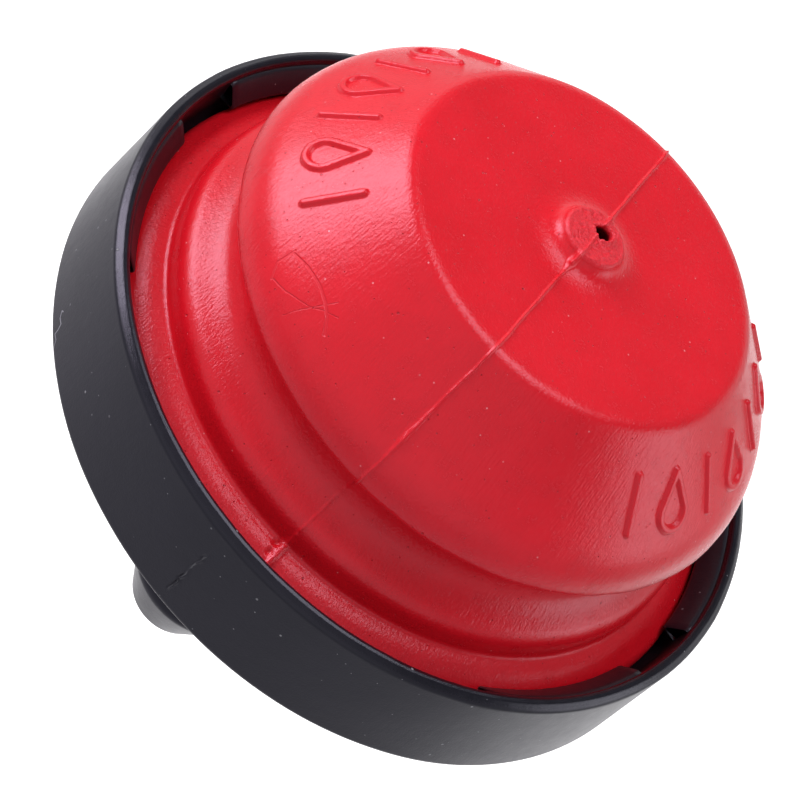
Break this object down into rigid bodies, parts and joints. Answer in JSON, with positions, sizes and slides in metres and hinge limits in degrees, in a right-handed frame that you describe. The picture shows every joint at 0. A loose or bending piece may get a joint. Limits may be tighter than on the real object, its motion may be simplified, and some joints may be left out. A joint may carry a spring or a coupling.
{
  "type": "primer bulb",
  "caption": "Hollow rubber squeeze bulb with a flared head, a waisted neck and a vent hole, held in a round plastic base ring with a snap boss and a straight hose nipple behind.",
  "frame": {"origin": "centre of the base's back face, the plane that lies on the panel", "axes": "+Z along the bulb's axis, out of the panel; -Z along the hose nipple; -Y towards the middle of the two retaining tabs that the picture shows, which is the picture camera's side"},
  "size_m": [0.0576, 0.0576, 0.0615],
  "materials": {
    "base_plastic": "black moulded nylon, fine matte grain",
    "bulb_rubber": "red moulded rubber, satin"
  },
  "bodies": {
    "root": {"base": "base_plastic", "bulb": "bulb_rubber"}
  },
  "joints": []
}
